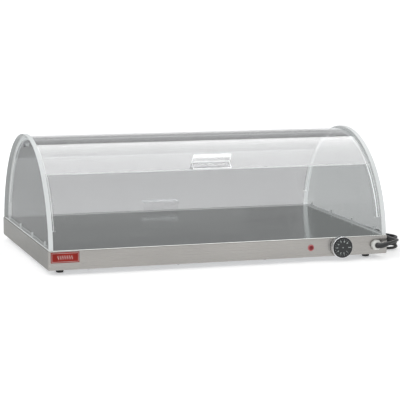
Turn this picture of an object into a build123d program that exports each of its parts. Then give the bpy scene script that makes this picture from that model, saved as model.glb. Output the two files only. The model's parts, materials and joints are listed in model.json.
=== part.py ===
"""Countertop heated display case: a flat stainless warming base under a clear barrel dome.

Two clear end panels stand on the base. Two curved flaps, one over the other, slide round
the dome on stepped guide rails. The front flap is raised over the top, the rear one closed.

Millimetres, +Z up, front towards -Y. The origin is on the table, at the middle of the
footprint without the mains lead.
"""
from build123d import *
import os
from math import cos, pi, radians, sin, tan

os.makedirs("parts", exist_ok=True)

# ---------------------------------------------------------------- driving dimensions
base_width = 780.0
base_depth = 485.0
base_height = 42.0
foot_height = 12.0            # from the table to the bottom edge of the housing
steel = 1.5                   # housing sheet
cover_sheet = 1.2             # bottom cover sheet

arch_sink = 17.0              # arch axis below the top plate
panel_radius = 239.0
panel_thickness = 10.0
panel_inset = 1.5             # outer face of an end panel from the end of the base

flap_sheet = 3.0
front_flap_radius = 233.5     # outer faces of the two curved sheets
rear_flap_radius = 228.5
rail_gap = 0.4                # running gap between a sheet and its rail
rail_inner_radius = 221.0
rail_narrow = 5.0             # width of the step under the front flap
rail_wide = 10.0              # width of the step under the rear flap
end_gap = 0.5                 # between a flap's end and the panel or step beside it
hole_gap = 0.05               # round each screw, pin and stud in its hole

# Angles round the arch, in degrees, from the front horizontal over the top.
front_flap_angles = (46.5, 135.0)
rear_flap_angles = (87.0, 175.5)
rail_angles = (14.0, 166.0)

handle_length = 88.0
handle_flange = 20.0          # along the sheet, up from its lower edge
handle_ledge = 25.0           # outward from the sheet
handle_thickness = 3.0

tie_radius = 215.5            # of the tie rod's centre from the arch axis
tie_diameter = 10.0
tie_screw_radius = 2.5

knob_x = 275.0
pilot_x = 205.0
gland_x = 361.0
badge_x = -354.0
knob_diameter = 48.0
knob_reach = 17.0             # front of the knob from the housing

cord_diameter = 6.5
guard_tilt = 12.0             # the cord guard leaves the gland upwards ...
guard_back = 15.0             # ... and back towards the panel, in degrees

# ---------------------------------------------------------------- derived places
base_bottom = foot_height
base_top = base_bottom + base_height
half_w = base_width / 2
half_d = base_depth / 2
front_face = -half_d
inner_front = front_face + steel
inner_top = base_top - steel
control_z = base_bottom + base_height / 2
arch_z = base_top - arch_sink
panel_outer_x = half_w - panel_inset
panel_inner_x = panel_outer_x - panel_thickness
panel_middle_x = (panel_outer_x + panel_inner_x) / 2
front_flap_half = panel_inner_x - end_gap
rear_flap_half = panel_inner_x - rail_narrow - end_gap

nodes = {}


# ---------------------------------------------------------------- helpers
def add(name, *shapes):
    """Keep one node: a single solid, or several separate solids as a group."""
    solids = [solid for shape in shapes for solid in shape.solids()]
    nodes[name] = solids[0] if len(solids) == 1 else Compound(children=solids)


def box(x, y, z):
    """A box between pairs of coordinates."""
    middle = Pos((x[0] + x[1]) / 2, (y[0] + y[1]) / 2, (z[0] + z[1]) / 2)
    return middle * Box(x[1] - x[0], y[1] - y[0], z[1] - z[0])


def rod_x(radius, x, y, z):
    """A cylinder along X, between two x values."""
    return Pos((x[0] + x[1]) / 2, y, z) * Rot(0, 90, 0) * Cylinder(radius, x[1] - x[0])


def rod_y(radius, x, y, z):
    """A cylinder along Y, between two y values."""
    return Pos(x, (y[0] + y[1]) / 2, z) * Rot(90, 0, 0) * Cylinder(radius, y[1] - y[0])


def rod_z(radius, x, y, z):
    """A cylinder along Z, between two z values."""
    return Pos(x, y, (z[0] + z[1]) / 2) * Cylinder(radius, z[1] - z[0])


def turned(profile, place):
    """A body turned from (radius, height) points about local Z, then placed."""
    outline = Polyline(*[(r, 0, h) for r, h in profile], close=True)
    return place * revolve(make_face(outline), Axis.Z)


def facing_front(x, y, z):
    """A place whose local Z points out of the front panel."""
    return Pos(x, y, z) * Rot(90, 0, 0)


def on_arch(radius, angle):
    """The (y, z) of a point at an angle round the arch."""
    return -radius * cos(radians(angle)), arch_z + radius * sin(radians(angle))


def arc_band(radii, angles, x):
    """A strip of a cylinder about the arch axis."""
    along = (angles[0], (angles[0] + angles[1]) / 2, angles[1])
    inner, outer = [[on_arch(radius, angle) for angle in along] for radius in radii]
    outline = [
        ThreePointArc(*outer),
        Line(outer[2], inner[2]),
        ThreePointArc(*reversed(inner)),
        Line(inner[0], outer[0]),
    ]
    face = Plane.YZ * make_face(outline)
    return Pos(x[0], 0, 0) * extrude(face, amount=x[1] - x[0], dir=(1, 0, 0))


def pan_screw(head_radius, head_height, shank_radius, length):
    """A pan-head screw along local Z: the head is below zero, the shank above. The head has a
    cross recess."""
    dome = head_height * 0.45
    profile = [
        (0, length), (shank_radius, length), (shank_radius, 0), (head_radius, 0),
        (head_radius, -head_height + dome), (head_radius - dome, -head_height), (0, -head_height),
    ]
    screw = turned(profile, Pos(0, 0, 0))
    arm = head_radius * 0.55
    slot = head_radius * 0.13
    depth = (-head_height - 1, -head_height * 0.5)
    for turn in (0, 90):
        screw -= Rot(0, 0, turn) * box((-arm, arm), (-slot, slot), depth)
    return screw


def tube(name, points, diameter):
    """A cord or wire: straight runs joined by arcs as large as the runs allow."""
    places = [Vector(*p) for p in points]
    runs = [b - a for a, b in zip(places, places[1:])]
    radii = []
    for one, two in zip(runs, runs[1:]):
        half_turn = radians(one.get_angle(two)) / 2
        radii.append(0.45 * min(one.length, two.length) / tan(half_turn))
    path = FilletPolyline(*places, radius=radii)
    swept = sweep(Plane(origin=places[0], z_dir=runs[0]) * Circle(diameter / 2), path=path)
    share = swept.volume / (pi * diameter**2 / 4 * path.length)
    print(name, "length", round(path.length, 1), "volume share", round(share, 4))
    print("   radii", [round(r, 1) for r in radii])
    return swept


# ---------------------------------------------------------------- base housing and bottom
corner_round = 3.0
top_round = 2.5
flange_width = 14.0
knob_hole = 5.0
pilot_hole = 5.5
gland_hole = 8.0
panel_screw_y = (-180.0, -55.0, 70.0, 195.0)
panel_screw_radius = 2.0
panel_screw_depth = 10.0      # into the end panel
cover_screw_radius = 1.5
cover_screw_spots = [(x, y * (half_d - 11.0)) for x in (-300, -100, 100, 300) for y in (-1, 1)]
cover_inset = 7.0
foot_spots = [(-356.0, -200.0), (356.0, -200.0), (-356.0, 200.0), (356.0, 200.0)]
foot_names = ("foot_front_left", "foot_front_right", "foot_rear_left", "foot_rear_right")
machine_screw_radius = 2.0
foot_recess = 3.5
thermostat_screw_offset = 14.0


def make_housing():
    """The folded top plate with its four sides and inward return flanges."""
    shell = box((-half_w, half_w), (-half_d, half_d), (base_bottom, base_top))
    shell = fillet(shell.edges().filter_by(Axis.Z), corner_round)
    shell = fillet(shell.faces().sort_by(Axis.Z)[-1].edges(), top_round)
    hollow = box(
        (-half_w + steel, half_w - steel),
        (-half_d + steel, half_d - steel),
        (base_bottom + steel, inner_top),
    )
    hollow = fillet(hollow.edges().filter_by(Axis.Z), corner_round - steel)
    mouth = box(
        (-half_w + flange_width, half_w - flange_width),
        (-half_d + flange_width, half_d - flange_width),
        (base_bottom - 1, base_bottom + steel + 1),
    )
    shell = shell - hollow - mouth
    through_front = (front_face - 1, inner_front + 1)
    for x, radius in ((knob_x, knob_hole), (pilot_x, pilot_hole), (gland_x, gland_hole)):
        shell -= rod_y(radius, x, through_front, control_z)
    for side in (-1, 1):
        x = knob_x + side * thermostat_screw_offset
        shell -= rod_y(machine_screw_radius + hole_gap, x, through_front, control_z)
        for y in panel_screw_y:
            through_top = (inner_top - 1, base_top + 1)
            shell -= rod_z(panel_screw_radius + hole_gap, side * panel_middle_x, y, through_top)
    for x, y in cover_screw_spots:
        through_flange = (base_bottom - 1, base_bottom + steel + 1)
        shell -= rod_z(cover_screw_radius + hole_gap, x, y, through_flange)
    return shell


def make_bottom_cover():
    """The flat bottom plate with rows of cooling slots."""
    slot_length = 40.0
    slot_width = 4.0
    slot_pitch = 12.0
    edge_x = half_w - cover_inset
    edge_y = half_d - cover_inset
    plate = box((-edge_x, edge_x), (-edge_y, edge_y), (base_bottom - cover_sheet, base_bottom))
    plate = fillet(plate.edges().filter_by(Axis.Z), corner_round)
    drill = (base_bottom - cover_sheet - 1, base_bottom + 1)
    slot = extrude(SlotOverall(slot_length, slot_width), amount=cover_sheet + 2)
    for x in (-240.0, 60.0, 240.0):
        for row in range(5):
            place = Pos(x, 150.0 + (row - 2) * slot_pitch, drill[0])
            plate -= place * slot
    for x, y in cover_screw_spots:
        plate -= rod_z(cover_screw_radius + hole_gap, x, y, drill)
    for x, y in foot_spots:
        plate -= rod_z(machine_screw_radius + hole_gap, x, y, drill)
    return plate


def make_foot(x, y):
    """A tapered rubber foot with a recess for its screw."""
    top = base_bottom - cover_sheet
    bore = machine_screw_radius + hole_gap
    profile = [
        (7.5, 0), (8.0, 0.6), (10.0, top), (bore, top), (bore, top - foot_recess),
        (5.0, top - foot_recess), (5.0, 0),
    ]
    return turned(profile, Pos(x, y, 0))


add("housing", make_housing())
add("bottom_cover", make_bottom_cover())
cover_bottom = base_bottom - cover_sheet
cover_screw = pan_screw(3.0, 2.0, cover_screw_radius, 9.0)
add("cover_screws", *[Pos(x, y, cover_bottom) * cover_screw for x, y in cover_screw_spots])
for foot_name, foot_spot in zip(foot_names, foot_spots):
    add(foot_name, make_foot(*foot_spot))
foot_seat = cover_bottom - foot_recess
foot_nut_height = 3.2
foot_screw = pan_screw(3.8, 2.6, machine_screw_radius, 10.0)
add("foot_screws", *[Pos(x, y, foot_seat) * foot_screw for x, y in foot_spots])
hex_nut = extrude(RegularPolygon(4.0, 6), amount=foot_nut_height) \
    - rod_z(machine_screw_radius + hole_gap, 0, 0, (-1, foot_nut_height + 1))
add("foot_nuts", *[Pos(x, y, base_bottom) * hex_nut for x, y in foot_spots])


# ---------------------------------------------------------------- heater pack under the top
mat_thickness = 1.6
insulation_thickness = 12.0
retainer_sheet = 0.8
mat_half_d = 205.0
mat_x = ((-362.0, -6.0), (6.0, 362.0))
stud_radius = 2.0
stud_spots = [(x, y) for x in (-340.0, 0.0, 340.0) for y in (-120.0, 180.0)]
pack_y = (-150.0, 215.0)
mat_bottom = inner_top - mat_thickness
pack_bottom = mat_bottom - insulation_thickness
retainer_bottom = pack_bottom - retainer_sheet
stud_tip = retainer_bottom - 7.0
bulb_radius = 3.0
bulb_x = (235.0, 320.0)
bulb_y = -128.0


def with_stud_holes(plate, z):
    for x, y in stud_spots:
        plate -= rod_z(stud_radius + hole_gap, x, y, (z[0] - 1, z[1] + 1))
    return plate


for side_name, x_range in zip(("left", "right"), mat_x):
    mat = box(x_range, (-mat_half_d, mat_half_d), (mat_bottom, inner_top))
    mat = fillet(mat.edges().filter_by(Axis.Z), 8.0)
    add(f"heating_mat_{side_name}", with_stud_holes(mat, (mat_bottom, inner_top)))
insulation = box((-366, 366), pack_y, (pack_bottom, mat_bottom))
bulb_z = mat_bottom - bulb_radius
insulation -= box((bulb_x[0] - 12, bulb_x[1] + 4), (pack_y[0], bulb_y + 8), (mat_bottom - 8, mat_bottom))
add("insulation_board", with_stud_holes(insulation, (pack_bottom, mat_bottom)))
retainer = box((-366, 366), pack_y, (retainer_bottom, pack_bottom))
add("retainer_plate", with_stud_holes(retainer, (retainer_bottom, pack_bottom)))
add("heater_studs", *[rod_z(stud_radius, x, y, (stud_tip, inner_top)) for x, y in stud_spots])
nut_z = retainer_bottom - foot_nut_height
add("heater_nuts", *[Pos(x, y, nut_z) * hex_nut for x, y in stud_spots])


# ---------------------------------------------------------------- thermostat and its knob
spindle_radius = 3.0
spindle_clearance = 0.05
body_y = (inner_front, inner_front + 34.0)
spindle_depth = 14.0          # inside the thermostat
body_z = (control_z - 14.0, control_z + 14.0)
knob_back = front_face - 2.0
knob_front = front_face - knob_reach
trim_width = 2.2


def make_thermostat():
    """The capillary thermostat's case, with the bore its spindle turns in."""
    case = box((knob_x - 21, knob_x + 21), body_y, body_z)
    case = fillet(case.edges().filter_by(Axis.Y), 3.0)
    case += rod_y(4.8, knob_x, (front_face - 1.0, inner_front + 1), control_z)
    bore = spindle_radius + spindle_clearance
    case -= rod_y(bore, knob_x, (front_face - 3, inner_front + spindle_depth), control_z)
    for side in (-1, 1):
        x = knob_x + side * thermostat_screw_offset
        case -= rod_y(machine_screw_radius + hole_gap, x, (front_face, inner_front + 8), control_z)
    return case


def make_spindle():
    """The turning spindle, with a flat where the knob grips it."""
    shaft = rod_y(spindle_radius, knob_x, (knob_front + 5, inner_front + spindle_depth - 0.5), control_z)
    flat = box(
        (knob_x - 4, knob_x + 4), (knob_front, knob_back - 1),
        (control_z + 1.6, control_z + 4),
    )
    return shaft - flat


def make_knob(spindle):
    """The knob: a grip drum behind a flat dial face, on a hub round the spindle."""
    radius = knob_diameter / 2
    depth = knob_back - knob_front
    wall = 2.0
    rim = radius - trim_width
    profile = [
        (0, depth), (rim - 1.0, depth), (rim, depth - 1.0), (rim, 0),
        (rim - wall, 0), (rim - wall, depth - wall - 1), (0, depth - wall - 1),
    ]
    drum = turned(profile, facing_front(knob_x, knob_back, control_z))
    hub = rod_y(6.0, knob_x, (knob_front + wall, knob_back), control_z)
    return (drum + hub) - spindle


def make_knob_trim():
    """The bright ring round the knob."""
    radius = knob_diameter / 2
    depth = knob_back - knob_front
    inner = radius - trim_width
    profile = [
        (inner, 0), (radius, 0), (radius, depth - 2.2), (radius - 0.7, depth - 1.0),
        (inner, depth - 1.0),
    ]
    return turned(profile, facing_front(knob_x, knob_back, control_z))


add("thermostat", make_thermostat())
spindle_solid = make_spindle()
add("thermostat_spindle", spindle_solid)
add("knob", make_knob(spindle_solid))
add("knob_trim", make_knob_trim())
dial_radius = knob_diameter / 2 - trim_width - 2.0
add("dial_disc", rod_y(dial_radius, knob_x, (knob_front - 0.5, knob_front), control_z))
panel_screw = pan_screw(3.4, 1.4, machine_screw_radius, 8.5)
add("thermostat_screws", *[
    Pos(knob_x + side * thermostat_screw_offset, front_face, control_z) * Rot(-90, 0, 0) * panel_screw
    for side in (-1, 1)
])
add("sensor_bulb", rod_x(bulb_radius, bulb_x, bulb_y, bulb_z))
capillary_x = bulb_x[0] - 6.0
add("capillary", tube(
    "capillary",
    [
        (bulb_x[0], bulb_y, bulb_z),
        (capillary_x, bulb_y - 1, bulb_z),
        (capillary_x - 3, bulb_y - 10, bulb_z - 1),
        (capillary_x - 1, bulb_y - 28, bulb_z - 6),
        (knob_x - 30, bulb_y - 45, bulb_z - 10),
        (knob_x - 14, bulb_y - 58, control_z + 2),
        (knob_x - 9, bulb_y - 68, control_z),
        (knob_x - 8, body_y[1], control_z - 1),
    ],
    1.6,
))


# ---------------------------------------------------------------- pilot lamp and badge
lamp_face = front_face - 3.2
lens_profile = [
    (0, 3.2), (2.5, 3.0), (5.0, 2.2), (5.6, 1.2), (7.5, 0.9), (7.5, 0), (pilot_hole, 0),
    (pilot_hole, -steel - 2), (0, -steel - 2),
]
add("pilot_lens", turned(lens_profile, facing_front(pilot_x, front_face, control_z)))
lamp_back = inner_front + 24.0
lamp_body_profile = [
    (0, 2), (5.0, 2), (5.0, 15), (5.4, 15.5), (5.4, 17), (4.4, 17.5), (4.4, 24), (0, 24),
]
lamp_body_place = Pos(pilot_x, inner_front, control_z) * Rot(-90, 0, 0)
add("pilot_lamp_body", turned(lamp_body_profile, lamp_body_place))
clip_profile = [(pilot_hole, 0), (8.0, 0), (8.0, 1.0), (pilot_hole, 1.8)]
add("pilot_clip", turned(clip_profile, Pos(pilot_x, inner_front, control_z) * Rot(-90, 0, 0)))

badge_z = base_top - 14.8
badge = box((badge_x - 31, badge_x + 31), (front_face - 1.0, front_face), (badge_z - 11.5, badge_z + 11.5))
add("badge", chamfer(badge.faces().sort_by(Axis.Y)[0].edges(), 0.4))


# ---------------------------------------------------------------- mains lead
flange_step = 2.0
nut_front = front_face - 12.0
gland_bore = 6.0
gland_place = facing_front(gland_x, front_face, control_z)
gland_profile = [
    (gland_bore, 4.0), (8.5, 4.0), (8.5, flange_step), (11.0, flange_step), (11.0, 0),
    (gland_hole, 0), (gland_hole, -steel - 12), (gland_bore, -steel - 12),
]
add("gland_body", turned(gland_profile, gland_place))
nut_depth = front_face - nut_front
nut_profile = [
    (8.5, flange_step), (12.0, flange_step), (12.0, nut_depth - 3.5), (10.8, nut_depth - 1.0),
    (9.0, nut_depth), (gland_bore, nut_depth), (gland_bore, 4.0), (8.5, 4.0),
]
add("gland_nut", turned(nut_profile, gland_place))
locknut = extrude(RegularPolygon(12.0, 6), amount=5.0) - rod_z(gland_hole, 0, 0, (-1, 6))
add("gland_locknut", Pos(gland_x, inner_front, control_z) * Rot(-90, 0, 0) * locknut)

# The guard turns the lead out of the gland, to the right, a little up and back.
guard_root = 6.0
guard_tip = 4.7
bend_radius = 10.0
guard_straight = 12.0
guard_start = Vector(gland_x, front_face - 4.0, control_z)
bend_start = Vector(gland_x, nut_front - 1.5, control_z)
inward = Vector(0, -1, 0)
outward = Vector(
    cos(radians(guard_back)) * cos(radians(guard_tilt)),
    sin(radians(guard_back)) * cos(radians(guard_tilt)),
    sin(radians(guard_tilt)),
)
elbow_corner = bend_start + inward * (bend_radius * tan(radians(inward.get_angle(outward)) / 2))
bend_end = elbow_corner + outward * (elbow_corner - bend_start).length
guard_end = bend_end + outward * guard_straight


def make_guard():
    """The elbowed rubber cord guard: a straight root, a bend and a tapered tip."""
    path = FilletPolyline(guard_start, elbow_corner, bend_end + outward * 0.5, radius=bend_radius)
    root = sweep(Plane(origin=guard_start, z_dir=inward) * Circle(guard_root), path=path)
    cone_plane = Plane(origin=bend_end + outward * 0.5, z_dir=outward)
    tip_plane = Plane(origin=guard_end, z_dir=outward)
    cone = loft([cone_plane * Circle(guard_root), tip_plane * Circle(guard_tip)])
    return root + cone


add("cord_guard", make_guard())

# The lead goes round the corner of the base and over a tied hank that lies beside it.
hank_front = Vector(443.0, -130.5, 0)      # middles of its end loops
hank_rear = Vector(426.5, -21.7, 0)
hank_middle = (hank_front + hank_rear) * 0.5
hank_along = (hank_rear - hank_front).normalized()
hank_across = Vector(hank_along.Y, -hank_along.X, 0)
hank_height = 5.5 * cord_diameter          # four turns, the lead over them, the tail under
loop_half = 3.5 * cord_diameter
waist_half = 1.25 * cord_diameter
hank_half = (hank_rear - hank_front).length / 2
# Half-widths of the hank at places along it, from the middle to the end of a loop.
hank_outline = [
    (0.0, waist_half), (0.3, waist_half + 2.0), (0.62, 0.80 * loop_half), (0.86, loop_half),
    (1.08, loop_half), (1.27, 0.72 * loop_half), (1.41, 0.2 * loop_half),
]


def beside_hank(along, across, z):
    """A point near the hank, from the hank's middle."""
    spot = hank_middle + hank_along * along + hank_across * across
    return (spot.X, spot.Y, z)


def make_hank_and_tie():
    """The hank's outer shape, drawn in at the waist, and the tie round it."""
    quarter = [(share * hank_half, width) for share, width in hank_outline]
    right = [(-s, w) for s, w in reversed(quarter)] + quarter[1:]
    ring = right + [(s, -w) for s, w in reversed(right)]
    outline = Polyline(*[beside_hank(s, w, 0) for s, w in ring], close=True)
    hank = extrude(make_face(outline), amount=hank_height, dir=(0, 0, 1))
    tie_half = 4.0
    tie_sheet = 1.2
    turn = Plane(origin=hank_middle, x_dir=hank_across, z_dir=(0, 0, 1))
    wide = waist_half + 0.6
    loop = turn * Pos(0, 0, hank_height / 2) * Box(2 * (wide + tie_sheet), 2 * tie_half, hank_height)
    hole = turn * Pos(0, 0, hank_height / 2) * Box(2 * wide, 2 * tie_half, hank_height - 2 * tie_sheet)
    tie = loop - hole
    return hank - loop + (hank & hole), tie


hank_solid, tie_solid = make_hank_and_tie()
add("cord_hank", hank_solid)
add("cord_tie", tie_solid)
lead_points = [
    tuple(guard_end),
    tuple(guard_end + outward * 10.0),
    (405.3, -254.0, 41.4),
    (414.0, -244.8, 41.2),
    (419.5, -231.8, 39.4),
    (423.0, -215.0, 37.2),
    (426.5, -194.0, 34.6),
    (430.0, -175.0, 33.2),
    (432.2, -161.5, 32.6),
    (432.4, -149.5, 32.4),
]
add("power_cord", tube("power_cord", lead_points, cord_diameter))
plug_place = Vector(412.0, 74.0, 17.2)
tail_level = cord_diameter / 2
tail_points = [
    beside_hank(hank_half * 1.18, -3.0 * cord_diameter, tail_level),
    beside_hank(hank_half * 1.50, -3.2 * cord_diameter, tail_level + 0.2),
    (402.5, 30.0, 7.0),
    (407.0, 51.0, 13.2),
    tuple(plug_place),
]
add("power_cord_tail", tube("power_cord_tail", tail_points, cord_diameter))

plug_frame = Plane(origin=plug_place, z_dir=(0, 1, 0), x_dir=(1, 0, 0))
plug_radius = 17.0
neck_length = 24.0
shell_length = 32.0
face_length = neck_length + shell_length
plug_profile = [
    (0, 0), (5.0, 0), (7.5, neck_length - 4), (9.5, neck_length), (14.0, neck_length + 4),
    (plug_radius, neck_length + 9), (plug_radius, face_length), (15.5, face_length),
    (15.5, face_length - 1.5), (0, face_length - 1.5),
]
plug_body = turned(plug_profile, Pos(0, 0, 0))
groove = box((-4.5, 4.5), (plug_radius - 3, plug_radius + 1), (face_length - 16, face_length + 1))
plug_body -= groove
plug_body -= Rot(0, 0, 180) * groove
add("plug_body", plug_frame.location * plug_body)
pin_foot = face_length - 1.5 + hole_gap
pin_profile = [
    (0, pin_foot), (2.4, pin_foot), (2.4, face_length + 16.5),
    (1.2, face_length + 18), (0, face_length + 18),
]
add("plug_pins", *[plug_frame.location * turned(pin_profile, Pos(x, 0, 0)) for x in (-9.5, 9.5)])
contact_y = (plug_radius - 3 + hole_gap, plug_radius - 1.6)
contact = box((-3.0, 3.0), contact_y, (face_length - 15, face_length - 1))
add("plug_earth_contacts", *[plug_frame.location * Rot(0, 0, a) * contact for a in (0, 180)])


# ---------------------------------------------------------------- wiring inside the base
block_x = (304.0, 334.0)
block_y = (-214.0, -192.0)
block_z = (base_bottom + 2.5, base_bottom + 20.0)
terminal_x = (309.0, 319.0, 329.0)


def make_terminal_block():
    """Three poles in one moulding, parted by slots from above."""
    block = box(block_x, block_y, block_z)
    block = fillet(block.edges().filter_by(Axis.Z), 1.0)
    for x in ((terminal_x[0] + terminal_x[1]) / 2, (terminal_x[1] + terminal_x[2]) / 2):
        block -= box((x - 0.6, x + 0.6), (block_y[0] - 1, block_y[1] + 1), (block_z[1] - 7, block_z[1] + 1))
    return block


add("terminal_block", make_terminal_block())
add("terminal_bracket", box((block_x[0] - 2, block_x[1] + 6), (block_y[0] - 4, block_y[1] + 4),
                            (base_bottom, block_z[0])))
add("terminal_screws", *[rod_z(2.2, x, (block_y[0] + block_y[1]) / 2, (block_z[1], block_z[1] + 1.5))
                         for x in terminal_x])
wire_diameter = 2.4
wire_z = (block_z[0] + block_z[1]) / 2
inner_gland = inner_front + 12.0
add("inner_lead", rod_y(3.2, gland_x, (front_face - 4.0, inner_gland - 0.1), control_z))
wire_fan = (-1.0, 0.0, 1.0)


def make_supply_wire(index):
    """A core from the sheath in the gland to the terminal block, looping clear."""
    shift = wire_fan[index]
    start = (gland_x + shift * 2.0 * 0.9, inner_gland, control_z)
    return tube(
        f"supply_wire_{index}",
        [
            start,
            (gland_x + shift * 3.0, inner_gland + 7, control_z + 0.4),
            (gland_x + 4 + shift * 4.0, inner_gland + 22, control_z - 1.5),
            (gland_x + 3 - index * 2.0, block_y[1] + 14 + 3.4 * index, wire_z + 3),
            (terminal_x[index] + 9, block_y[1] + 19 + 3.4 * index, wire_z + 1),
            (terminal_x[index] + 1.5, block_y[1] + 11, wire_z + 0.5),
            (terminal_x[index], block_y[1], wire_z),
        ],
        1.7,
    )


def make_link(name, start, bends, end):
    return tube(name, [start, *bends, end], wire_diameter)


add("supply_wires", *[make_supply_wire(index) for index in range(3)])
thermostat_back = body_y[1]
add("thermostat_wire", make_link(
    "thermostat_wire",
    (terminal_x[0], block_y[0], wire_z),
    [
        (terminal_x[0], block_y[0] - 4.5, wire_z),
        (terminal_x[0] - 2, block_y[0] - 8.5, wire_z + 0.4),
        (terminal_x[0] - 6, block_y[0] - 9.5, wire_z + 0.8),
        (block_x[0] - 4.0, block_y[0] - 6, wire_z + 1.2),
        (block_x[0] - 4.4, block_y[0] + 2, wire_z + 2.0),
        (block_x[0] - 5.5, thermostat_back + 3, wire_z + 2.8),
        (knob_x + 20, thermostat_back + 8.5, wire_z + 3.4),
        (knob_x + 15.5, thermostat_back + 9.5, wire_z + 3.7),
        (knob_x + 13, thermostat_back + 6, wire_z + 3.9),
    ],
    (knob_x + 12.5, thermostat_back, wire_z + 4.0),
))
heater_entry = (100.0, -mat_half_d, (mat_bottom + inner_top) / 2)
add("heater_wire", make_link(
    "heater_wire",
    (knob_x - 12, thermostat_back, control_z - 8),
    [
        (knob_x - 12.5, thermostat_back + 7, control_z - 8),
        (knob_x - 20, thermostat_back + 14, control_z - 7.8),
        (knob_x - 38, thermostat_back + 12, control_z - 7),
        (knob_x - 72, thermostat_back + 3, control_z - 4),
        (knob_x - 108, thermostat_back + 3.5, control_z + 1),
        (knob_x - 134, thermostat_back + 1, control_z + 5),
        (knob_x - 146, thermostat_back - 2, control_z + 6.5),
    ],
    (knob_x - 160, thermostat_back - 2.5, control_z + 7),
))
lamp_points = {
    "start": (pilot_x + 2.0, lamp_back, control_z),
    "end": (knob_x - 21, inner_front + 18, control_z - 5),
}
add("lamp_wire", make_link(
    "lamp_wire",
    lamp_points["start"],
    [
        (pilot_x + 2.3, lamp_back + 6, control_z - 0.3),
        (pilot_x + 8, lamp_back + 12, control_z - 1.5),
        (pilot_x + 24, lamp_back + 11, control_z - 3.0),
        (pilot_x + 35, lamp_back + 2, control_z - 4.2),
        (pilot_x + 41, inner_front + 18.5, control_z - 4.8),
    ],
    lamp_points["end"],
))
earth_x = 372.5
add("earth_stud", rod_z(2.0, earth_x, -150.0, (inner_top - 16.0, inner_top)))
add("earth_nut", Pos(earth_x, -150.0, inner_top - 12.0) * hex_nut)


# ---------------------------------------------------------------- end panels
def make_end_panel(side):
    """A clear arch standing on the top plate, drilled for its screws and the tie rod."""
    arch = rod_x(panel_radius, (panel_inner_x, panel_outer_x), 0, arch_z)
    arch -= box((0, half_w + 10), (-half_d - 10, half_d + 10), (arch_z - panel_radius - 1, base_top))
    arch = chamfer(arch.edges().filter_by(GeomType.CIRCLE), 0.6)
    for y in panel_screw_y:
        drill = (base_top - 1, base_top + panel_screw_depth + hole_gap)
        arch -= rod_z(panel_screw_radius + hole_gap, panel_middle_x, y, drill)
    y, z = on_arch(tie_radius, 90)
    arch -= rod_x(tie_screw_radius + hole_gap, (panel_inner_x - 1, panel_outer_x + 1), y, z)
    return arch if side > 0 else mirror(arch, Plane.YZ)


def make_rail(side):
    """A stepped strip bonded inside an end panel: one step carries each flap."""
    front_seat = front_flap_radius - flap_sheet - rail_gap
    rear_seat = rear_flap_radius - flap_sheet - rail_gap
    low_step = arc_band((rail_inner_radius, rear_seat), rail_angles,
                        (panel_inner_x - rail_wide, panel_inner_x))
    high_step = arc_band((rear_seat, front_seat), rail_angles,
                         (panel_inner_x - rail_narrow, panel_inner_x))
    rail = low_step + high_step
    return rail if side > 0 else mirror(rail, Plane.YZ)


for side, side_name in ((-1, "left"), (1, "right")):
    add(f"end_panel_{side_name}", make_end_panel(side))
    add(f"guide_rail_{side_name}", make_rail(side))

stand_screw = pan_screw(3.6, 2.4, panel_screw_radius, steel + panel_screw_depth)
add("end_panel_screws", *[
    Pos(side * panel_middle_x, y, inner_top) * stand_screw
    for side in (-1, 1) for y in panel_screw_y
])
tie_y, tie_z = on_arch(tie_radius, 90)
tie_screw_length = 26.0
tie_rod = rod_x(tie_diameter / 2, (-panel_inner_x, panel_inner_x), tie_y, tie_z)
tie_screw = pan_screw(4.8, 2.8, tie_screw_radius, tie_screw_length)
tie_hole_end = panel_outer_x - tie_screw_length - hole_gap
tie_screws = [
    Pos(side * panel_outer_x, tie_y, tie_z) * Rot(0, -90 * side, 0) * tie_screw for side in (-1, 1)
]
for hole in ((-panel_inner_x - 1, -tie_hole_end), (tie_hole_end, panel_inner_x + 1)):
    tie_rod -= rod_x(tie_screw_radius + hole_gap, hole, tie_y, tie_z)
add("tie_rod", tie_rod)
add("tie_rod_screws", *tie_screws)


# ---------------------------------------------------------------- the two sliding flaps
def make_flap(radius, angles, half):
    """One curved clear sheet."""
    return arc_band((radius - flap_sheet, radius), angles, (-half, half))


def make_handle(radius, low, up):
    """A clear L-profile: a flange on the sheet from its lower edge, and a ledge outward."""
    flange_turn = up * handle_flange / radius * 180 / pi
    ledge_turn = up * handle_thickness / radius * 180 / pi
    top = low + flange_turn
    x = (-handle_length / 2, handle_length / 2)
    flange = arc_band((radius, radius + handle_thickness), sorted((low, top)), x)
    ledge = arc_band((radius, radius + handle_ledge), sorted((top - ledge_turn, top)), x)
    return flange + ledge


add("front_flap", make_flap(front_flap_radius, front_flap_angles, front_flap_half))
add("rear_flap", make_flap(rear_flap_radius, rear_flap_angles, rear_flap_half))
add("front_handle", make_handle(front_flap_radius, front_flap_angles[0], 1))
add("rear_handle", make_handle(rear_flap_radius, rear_flap_angles[1], -1))


# ---------------------------------------------------------------- place the origin and write
cord_nodes = (
    "cord_guard", "power_cord", "cord_hank", "cord_tie", "power_cord_tail", "plug_body",
    "plug_pins", "plug_earth_contacts",
)
boxes = [shape.bounding_box() for name, shape in nodes.items() if name not in cord_nodes]
shift_y = round(-(min(b.min.Y for b in boxes) + max(b.max.Y for b in boxes)) / 2, 2)
print("nodes", len(nodes), "arch axis at y", round(shift_y, 4), "z", arch_z)
for name, shape in nodes.items():
    export_step(Pos(0, shift_y, 0) * shape, f"parts/{name}.step")
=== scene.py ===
"""Looks of the heated display case: a steel warming base under a clear barrel dome.

Metres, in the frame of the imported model: +Z up, front towards -Y. Most CAD nodes stay and get
a material. The knob, lamp lens, gland nut, cord guard, mains lead, tie, plug and screws that
show are rebuilt here with their small detail.
"""
import json
from math import cos, pi, radians, sin, tan

import bmesh
import bpy
from mathutils import Matrix, Vector


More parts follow.
